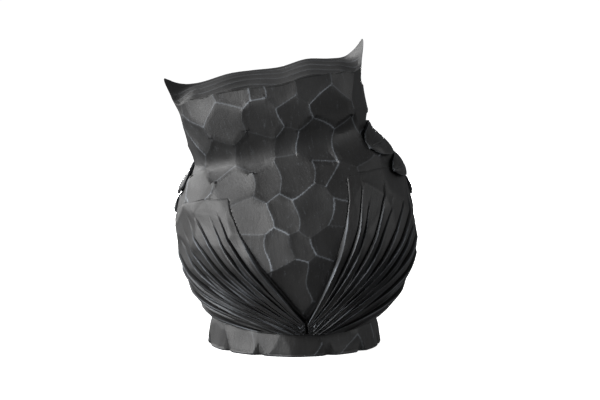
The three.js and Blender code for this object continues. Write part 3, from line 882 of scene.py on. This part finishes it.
def covert_place(side, tip, root, width, thickness):
    tip_angle, root_angle = math.radians(tip[0]), math.radians(root[0])
    girth = float(skin_radius(tip_angle, tip[1]))
    run = np.array([(root_angle - tip_angle) * girth, root[1] - tip[1]])
    across = np.array([-run[1], run[0]]) / np.linalg.norm(run)

    def place(u, v):
        along = v**1.4
        over = 2 * u - 1
        sideways = -over * leaf_width(along) * width
        angle = tip_angle + (run[0] * along + across[0] * sideways) / girth
        height = tip[1] + run[1] * along + across[1] * sideways
        dome = 0.4 + 0.45 * (1 - np.abs(over) ** 1.6)
        facets = 0.14 * np.abs(np.sin(along * 8 + over * 2.5)) * (1 - over**4)
        from_shaft = np.abs(over - 0.15 * np.sin(along * 3))
        shaft = -0.12 * bell(from_shaft, 0.05)
        sink = COVERT_SINK * fade(along, 0.55, 1)
        rise = thickness * (dome + facets + shaft) * fade(along, -0.1, 0.12)
        offset = COVERT_REST + COVERT_LIFT * (1 - along) + rise - sink
        points = on_skin(angle, height, offset)
        points[..., 0] *= side
        rim = np.maximum(np.abs(over) ** 16, 1 - fade(along, 0, 0.02))
        marks = {
            "wear_and_highlight": 0.6 * rim + 0.5 * bell(from_shaft - 0.08, 0.03),
            "tone": 0.5 + 0.4 * np.sin(along * 8 + over * 2.5),
            # Painted shade: a dark line painted along the shaft groove.
            "hollow": 0.8 * bell(from_shaft, 0.04),
            "lay": np.stack([over * 0.01, 0 * over, along * 0.03], axis=-1),
        }
        return leaned(points), marks

    return place


def make_covert(name, side, shape):
    covert = sheet(f"carved_{name}", COVERT_COLUMNS, COVERT_ROWS, covert_place(side, *shape))
    thicken(covert, shape[3] * 0.5, side > 0)
    close_up(covert, merge=0.001)
    bpy.ops.object.shade_smooth_by_angle(angle=math.radians(35))
    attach(covert, "root")
    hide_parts(name)
    return covert


coverts = [
    make_covert(f"{side_name}_covert_{i + 1}", side, shape)
    for side_name, side in (("left", 1), ("right", -1))
    for i, shape in enumerate(COVERTS[side_name])
]

# %% [markdown]
# ## Foot
# The owl stands on a low block, cut back into a skirt of tail feathers behind and toes in front. It
# is one sheet too: from the middle of its underside out to the edge, up the side and in over the
# top. V-cuts notch its lower edge, and a few broad facets turn it from round to hand-cut.

# %% The foot block
FOOT_SIDE = 55.5
FOOT_BACK = 55.5
FOOT_FRONT = 57
SKIRT_CUTS = np.array([23.5, -23.5, 51, -51, 80, -80])
SKIRT_CUT_DEPTH = 3.4
SKIRT_CUT_HEIGHT = 9.5
SKIRT_CUT_HALF_DEG = 5
TOES = np.array([180 - 14, 180 + 14, 180 - 28, 180 + 28, 180 - 42, 180 + 42])
TOE_REACH = 7
TOE_HALF_DEG = 7
TOE_HEIGHT = 10
BACK_RIDGE = 1.2  # height of the low ridge down the middle of the back
BACK_RIDGE_DEG = 9
FOOT_AROUND = 300
FOOT_ROWS = 44
FOOT_SHARPER_THAN = 12
FOOT_CUTS = 30
foot_flare = line_through([0, 1.2, 6, 13, 20], [-0.3, 0.9, 0.5, -0.9, -3.2])
random.seed(5)
foot_cuts = [
    (360 / FOOT_CUTS * (i + 0.5) + jittered(4), 3 + 9 * (i % 2) + jittered(2.5))
    for i in range(FOOT_CUTS)
]
foot_centres = np.array(
    [
        (FOOT_SIDE * math.sin(math.radians(a)), FOOT_BACK * math.cos(math.radians(a)), h)
        for a, h in foot_cuts
    ]
)
foot_depths = np.array([jittered(0.7) for _ in foot_cuts])
foot_facing = foot_centres * (1, 1, 0) / np.linalg.norm(foot_centres[:, :2], axis=1)[:, None]
print(len(foot_cuts), "gouge cuts round the foot")


def degrees_apart(degrees, places):
    apart = (degrees[..., None] - places + 180) % 360 - 180
    return np.abs(apart).min(-1)


def place_foot(u, v):
    degrees = -360 * u
    angle = np.radians(degrees)
    inner, outer = 0.25, 0.8  # the shares of the rows that end the underside and start the top
    top = FOOT_HEIGHT + SHOULDER_RISE * np.sin(angle) ** 2
    z = np.clip((v - inner) / (outer - inner), 0, 1) * top
    depth = np.where(np.cos(angle) > 0, FOOT_BACK, FOOT_FRONT)
    oval = ((np.sin(angle) / FOOT_SIDE) ** 2 + (np.cos(angle) / depth) ** 2) ** -0.5
    up = np.clip(1 - z / SKIRT_CUT_HEIGHT, 0.001, 1)
    notch = np.clip(1 - degrees_apart(degrees, SKIRT_CUTS) / (SKIRT_CUT_HALF_DEG * up), 0, 1) * up
    toe = np.sqrt(np.clip(1 - degrees_apart(degrees, TOES) / TOE_HALF_DEG, 0, 1))
    toe = toe * (1 - fade(z, TOE_HEIGHT * 0.4, TOE_HEIGHT))
    r = oval + foot_flare(z) - SKIRT_CUT_DEPTH * notch + TOE_REACH * toe
    points = np.stack([r * np.sin(angle), r * np.cos(angle), z], axis=-1)
    normals = sheet_normals(points)
    on_side = (v >= inner) & (v <= outer) & (toe <= 0)
    weight = on_side * fade(z, 0, 2) * (1 - fade(z, top - 1.5, top))
    points, marks = scooped(points, normals, foot_centres, foot_depths, foot_facing, weight)
    points[..., 1] += BACK_RIDGE * bell(degrees_apart(degrees, [0]), BACK_RIDGE_DEG) * on_side
    shrink = np.where(v < inner, v / inner, np.where(v > outer, (1 - v) / (1 - outer), 1))
    points[..., :2] *= shrink[..., None]
    marks["wear_and_highlight"] = marks["wear_and_highlight"] + 0.7 * bell(z, 0.9) * on_side
    # Painted shade: the colour is darkened in the V-notches of the lower edge.
    marks["hollow"] = notch**0.5
    marks["ridge"] = marks["ridge"] * on_side
    marks["lay"] = points * MM
    return points, marks


foot = sheet("carved_foot", FOOT_AROUND, FOOT_ROWS, place_foot)
close_up(foot)
sharpen_ridges(foot, FOOT_SHARPER_THAN)
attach(foot, "root")
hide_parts("foot_block")

# %% [markdown]
# ## Eyes and beak
# Each eye is a low glass dome set in the middle of its disc: a sphere flattened front to back and
# cut off behind. The beak is a hooked wedge, worked out ring by ring from the brow down to its
# point, with a ridge along the middle. Both are generic, as on many carved owls.

# %% Glass eyes
EYE_RADIUS = 10.2
EYE_DOME = 6.6
EYE_LIFT = 2.2
EYE_BACK = 0.8  # where the dome is cut off behind


def make_eye(name, side):
    seat = leaned(np.array([side * EYE_SPREAD, DISC_HOLLOW - FACE_FORWARD - EYE_LIFT, EYE_HEIGHT]))
    deselect()
    bpy.ops.mesh.primitive_uv_sphere_add(segments=64, ring_count=32, radius=EYE_RADIUS * MM)
    eye = bpy.context.object
    eye.name = f"glass_{name}"
    edit_all(eye)
    bpy.ops.transform.resize(value=(1, EYE_DOME / EYE_RADIUS, 1))
    bpy.ops.mesh.bisect(
        plane_co=(0, EYE_BACK * MM, 0), plane_no=(0, 1, 0), use_fill=True, clear_outer=True
    )
    bpy.ops.mesh.select_all(action="SELECT")
    bpy.ops.transform.translate(value=Vector(seat) * MM)
    bpy.ops.mesh.normals_make_consistent(inside=False)
    stop_editing()
    bpy.ops.object.shade_smooth_by_angle(angle=math.radians(40))
    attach(eye, "root")
    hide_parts(name)
    print(eye.name, "at", seat.round(1))
    return eye, Vector(seat) * MM


eyes = [make_eye("left_eye", 1), make_eye("right_eye", -1)]

# %% The beak
BEAK_HEIGHT = 148
BEAK_LENGTH = 23
BEAK_WIDTH = 12
BEAK_REACH = 11
BEAK_BEHIND = 3
BEAK_ROUND = 48
BEAK_ROWS = 44
# How far the beak stands out, from the brow down to its hooked point.
beak_profile = line_through([0, 0.15, 0.4, 0.7, 0.9, 1], [0.3, 0.72, 1, 0.84, 0.5, 0.12])


def place_beak(u, v):
    turn = 2 * math.pi * u
    down = np.clip((v - 0.06) / 0.9, 0, 1)
    cap = np.clip(v / 0.06, 0, 1) * np.clip((1 - v) / 0.04, 0, 1)
    half_width = BEAK_WIDTH / 2 * np.maximum(0.1, np.sqrt(1 - down**2.2))
    reach = BEAK_REACH * beak_profile(down)
    forward = np.where(np.sin(turn) > 0, BEAK_BEHIND, reach)
    keel = np.abs(np.cos(turn)) ** 1.25 * np.sign(np.cos(turn))
    x = half_width * keel * cap
    y = forward * np.sin(turn) * cap
    points = np.stack([x, y, BEAK_LENGTH * (0.5 - down)], axis=-1)
    points += np.array([0, -float(front_at(BEAK_HEIGHT)), BEAK_HEIGHT])
    marks = {
        "wear_and_highlight": 0.5 * bell(np.cos(turn), 0.08) * (np.sin(turn) < 0) * cap,
        "tone": 0.3 + 0 * u,
        "hollow": 0 * u,
        "lay": points * MM,
    }
    return leaned(points), marks


beak = sheet("carved_beak", BEAK_ROUND, BEAK_ROWS, place_beak)
close_up(beak)
bpy.ops.object.shade_smooth_by_angle(angle=math.radians(45))
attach(beak, "root")
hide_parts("beak")

# %% [markdown]
# ## Finishes
# The wood is stained charcoal and waxed to a satin, so most of what the eye reads is sheen: each
# facet catches the light or misses it. Rubbing has taken the stain off the ridges, and a light line
# along the crest of the crown is a painted highlight. The finish is one procedural material whose
# colour follows three marks that the carving left on the mesh (how worn, with that painted
# highlight; which facet, with a darker painted-shade tone on the crown; and how deep, darkened as
# painted shade) and the grain, which runs along the strokes.

# %% Nodes written as sums
class Value:
    """A number that varies over a surface. Arithmetic on it adds Math nodes."""

    def __init__(self, kit, socket):
        self.kit = kit
        self.socket = socket

    def math(self, operation, *others):
        inputs = dict(enumerate((self, *others)))
        return self.kit.node("ShaderNodeMath", {"operation": operation}, inputs).out("Value")

    def __add__(self, other):
        return self.math("ADD", other)

    def __sub__(self, other):
        return self.math("SUBTRACT", other)

    def __rsub__(self, other):
        return (self * -1.0) + other

    def __mul__(self, other):
        return self.math("MULTIPLY", other)

    def __pow__(self, other):
        return self.math("POWER", other)

    __radd__ = __add__
    __rmul__ = __mul__

    def clamped(self):
        return self.math("MINIMUM", 1.0).math("MAXIMUM", 0.0)

    def between(self, low, high):
        """0 at low and 1 at high."""
        return ((self - low) * (1 / (high - low))).clamped()


class Node:
    def __init__(self, kit, node):
        self.kit = kit
        self.node = node

    def out(self, name):
        return Value(self.kit, self.node.outputs[name])


class Finish:
    """A new material, and the methods that add nodes to it and feed its shader."""

    def __init__(self, name):
        self.material = bpy.data.materials.new(name)
        self.material.use_nodes = True
        self.tree = self.material.node_tree
        self.shader = self.tree.nodes["Principled BSDF"]

    def node(self, kind, settings=None, inputs=None):
        node = self.tree.nodes.new(kind)
        for key, value in (settings or {}).items():
            setattr(node, key, value)
        for key, value in (inputs or {}).items():
            self.feed(node.inputs[key], value)
        return Node(self, node)

    def feed(self, socket, value):
        if isinstance(value, Value):
            self.tree.links.new(value.socket, socket)
        else:
            socket.default_value = value

    def surface(self, inputs):
        """Gives the shader its inputs, by name."""
        for name, value in inputs.items():
            self.feed(self.shader.inputs[name], value)

    def mark(self, name):
        return self.node("ShaderNodeAttribute", {"attribute_name": name}).out("Fac")

    def here(self):
        return self.node("ShaderNodeTexCoord").out("Object")

    def lay(self):
        """Places measured so that the carver's strokes, and the grain, run along Z."""
        return self.node("ShaderNodeAttribute", {"attribute_name": "lay"}).out("Vector")

    def noise(self, scale, place=None, stretch=(1, 1, 1), detail=2.0):
        inputs = {"Vector": place or self.lay(), "Scale": stretch}
        stretched = self.node("ShaderNodeMapping", {}, inputs).out("Vector")
        inputs = {"Vector": stretched, "Scale": scale, "Detail": detail}
        return self.node("ShaderNodeTexNoise", {}, inputs).out("Fac")

    def mixed(self, share, first, second):
        inputs = {0: share, 6: first, 7: second}
        return Value(self, self.node("ShaderNodeMix", {"data_type": "RGBA"}, inputs).node.outputs[2])

    def bump(self, height, distance, strength):
        inputs = {"Height": height, "Distance": distance, "Strength": strength}
        return self.node("ShaderNodeBump", {}, inputs).out("Normal")


# %% Stained and waxed wood
DARK_STAIN = (0.0062, 0.0057, 0.0054, 1)
LIGHT_STAIN = (0.02, 0.0203, 0.021, 1)
# Light grey of stain rubbed off the ridges, also used for the painted highlight on the crown's crest.
RUBBED_AND_HIGHLIGHT = (0.19, 0.207, 0.23, 1)
# Near-black, for painted shade in grooves, notches and other recesses.
PAINTED_GROOVE_SHADE = (0.004, 0.004, 0.004, 1)
BUMP_HEIGHT = 0.0005  # in metres
BUMP_STRENGTH = 0.4


def stained_wood(name, dark, light, wear_and_highlight_share):
    finish = Finish(name)
    grain = finish.noise(500, stretch=(1, 1, 0.06), detail=4.0)
    fibres = finish.noise(2600, stretch=(1, 1, 0.03), detail=2.0)
    patches = finish.noise(75, stretch=(1, 1, 0.7), detail=4.0)
    scuffs = finish.noise(700, stretch=(1, 1, 0.12), detail=5.0)
    specks = finish.noise(1500, place=finish.here(), detail=3.0)
    wear_and_highlight = finish.mark("wear_and_highlight")
    tone = finish.mark("tone") * 0.4 + grain * 0.25 + patches * 0.8 - 0.3
    stain = finish.mixed(tone.clamped(), dark, light)
    broken = (patches + specks - 0.55).clamped()
    # Light lines: rubbed wear on ridges and edges, and on the crown's crest a painted highlight.
    line = (wear_and_highlight**2.2) * broken * 1.7
    scratch = scuffs.between(0.58, 0.72) * specks.between(0.42, 0.7) * 0.6
    bare_and_highlight = (line + scratch * (0.4 + wear_and_highlight)).clamped() * wear_and_highlight_share
    colour = finish.mixed(bare_and_highlight, stain, RUBBED_AND_HIGHLIGHT)
    # Painted shade: grooves, notches, shafts and the troughs of the disc cuts are darkened towards
    # black.
    colour = finish.mixed(finish.mark("hollow").clamped() * 0.85, colour, PAINTED_GROOVE_SHADE)
    rough = (0.38 + patches * 0.26 + specks * 0.06 + bare_and_highlight * 0.12).clamped()
    height = fibres * 0.15 + grain * 0.25 + scuffs * 0.35 + specks * 0.45 + patches * 1.6
    normal = finish.bump(height, BUMP_HEIGHT, BUMP_STRENGTH)
    finish.surface({"Base Color": colour, "Roughness": rough, "Normal": normal})
    return finish.material


wood = stained_wood("stained_wood", DARK_STAIN, LIGHT_STAIN, 1.0)
print(wood.name, "has", len(wood.node_tree.nodes), "nodes")
beak_wood = stained_wood("beak_wood", (0.008, 0.008, 0.008, 1), (0.016, 0.016, 0.016, 1), 0.5)


def give(piece, material):
    piece.data.materials.clear()
    piece.data.materials.append(material)


for piece in [block, foot, *wings, *coverts]:
    give(piece, wood)
give(beak, beak_wood)

# %% [markdown]
# ### Glass and plain dowel
# The eyes are black glass with a dark brown ring that shows only in strong light. The dowels and
# pegs are hidden in the finished owl, but they are real parts, so they get plain birch with a
# straight grain along the rod.

# %% Glass eyes and dowels
IRIS = (0.006, 0.004, 0.0025, 1)
PUPIL = (0.002, 0.002, 0.002, 1)
PUPIL_RADIUS = 5.2
BIRCH_LIGHT = (0.55, 0.38, 0.21, 1)
BIRCH_DARK = (0.38, 0.24, 0.11, 1)
DOWELS = ["left_foot_dowel", "right_foot_dowel"]
DOWELS += [f"{side}_wing_peg_{i}" for side in ("left", "right") for i in (1, 2)]


def eye_glass(name, centre):
    finish = Finish(name)
    place = finish.here()
    apart = finish.node(
        "ShaderNodeVectorMath", {"operation": "DISTANCE"}, {0: place, 1: centre}
    ).out("Value")
    ring = apart.between(PUPIL_RADIUS * MM, (PUPIL_RADIUS + 1.2) * MM)
    rim = apart.between(EYE_RADIUS * 0.86 * MM, EYE_RADIUS * MM)
    colour = finish.mixed(ring * (1 - rim), PUPIL, IRIS)
    rough = 0.04 + finish.noise(90, place=place) * 0.05
    finish.surface({"Base Color": colour, "Roughness": rough, "Coat Weight": 0.6})
    return finish.material


def birch():
    finish = Finish("birch_dowel")
    grain = finish.noise(900, place=finish.here(), stretch=(1, 1, 0.08), detail=4.0)
    pores = finish.noise(3000, place=finish.here(), stretch=(1, 1, 0.05))
    colour = finish.mixed((grain * 1.6 - 0.3).clamped(), BIRCH_DARK, BIRCH_LIGHT)
    rough = (0.6 + grain * 0.2).clamped()
    normal = finish.bump(pores, 0.0002, 0.4)
    finish.surface({"Base Color": colour, "Roughness": rough, "Normal": normal})
    return finish.material


for eye, centre in eyes:
    give(eye, eye_glass(f"{eye.name}_finish", centre))
dowel_finish = birch()
for node in DOWELS:
    dowel = bpy.data.objects[node]
    for slot in dowel.material_slots:
        slot.material = dowel_finish
print("finishes:", [m.name for m in bpy.data.materials])

# %% [markdown]
# ## Studio
# A dark satin surface shows the lights more than its own colour, so the lights matter as much as
# the finish. A large soft box stands beside the owl at the back, on its left, and lets each facet
# catch the light or miss it. A weaker one lights the far side, a third the face, and a low strip the
# breast without grazing the crown. The floor is a pale lit table top, and the white backdrop lights
# the owl only a little.

# %% Floor and lights
FLOOR_SIZE = 40
FLOOR_GLOW = 0.91  # the floor is a lit table top
BACKDROP_LIGHT = 0.15  # how strongly the backdrop lights the owl
BACKDROP_SEEN = 1  # and how bright the camera sees it


def soft_box(name, place, size, power, height=None):
    """A light that faces the owl. It is square, unless its height is given too."""
    bpy.ops.object.light_add(type="AREA", location=place)
    light = bpy.context.object
    light.name = name
    light.data.shape = "RECTANGLE"
    light.data.size = size
    light.data.size_y = height or size
    light.visible_camera = False
    light.data.energy = power
    to_owl = Vector((0, 0, 0.1)) - Vector(place)
    light.rotation_euler = to_owl.to_track_quat("-Z", "Y").to_euler()
    return light


def white_backdrop():
    world = bpy.data.worlds.new("studio")
    bpy.context.scene.world = world
    world.use_nodes = True
    nodes, links = world.node_tree.nodes, world.node_tree.links
    lighting = nodes["Background"]
    lighting.inputs["Color"].default_value = (0.96, 0.98, 1, 1)
    lighting.inputs["Strength"].default_value = BACKDROP_LIGHT
    seen = nodes.new("ShaderNodeBackground")
    seen.inputs["Color"].default_value = (1, 1, 1, 1)
    seen.inputs["Strength"].default_value = BACKDROP_SEEN
    mix = nodes.new("ShaderNodeMixShader")
    rays = nodes.new("ShaderNodeLightPath")
    links.new(rays.outputs["Is Camera Ray"], mix.inputs["Fac"])
    links.new(lighting.outputs["Background"], mix.inputs[1])
    links.new(seen.outputs["Background"], mix.inputs[2])
    links.new(mix.outputs["Shader"], nodes["World Output"].inputs["Surface"])


def pale_floor():
    deselect()
    bpy.ops.mesh.primitive_plane_add(size=FLOOR_SIZE)
    floor = bpy.context.object
    floor.name = "floor"
    finish = Finish("pale_floor")
    finish.surface({"Base Color": (0.9, 0.9, 0.9, 1), "Roughness": 0.8, "Specular IOR Level": 0.1})
    finish.surface({"Emission Color": (1, 1, 1, 1), "Emission Strength": FLOOR_GLOW})
    floor.visible_glossy = False
    floor.visible_diffuse = False
    give(floor, finish.material)


white_backdrop()
pale_floor()
lights = [
    soft_box("side_light", (1.05, 0.62, 0.42), 0.9, 35),
    soft_box("far_side_light", (-1.3, 0.3, 0.5), 0.8, 5),
    soft_box("face_light", (1.1, -0.9, 0.6), 0.9, 16),
    soft_box("breast_light", (0.05, -1.1, 0.11), 0.5, 14, height=0.14),
]
print("lights, in watts:", {light.name: light.data.energy for light in lights})
bpy.context.scene.view_settings.view_transform = "Standard"
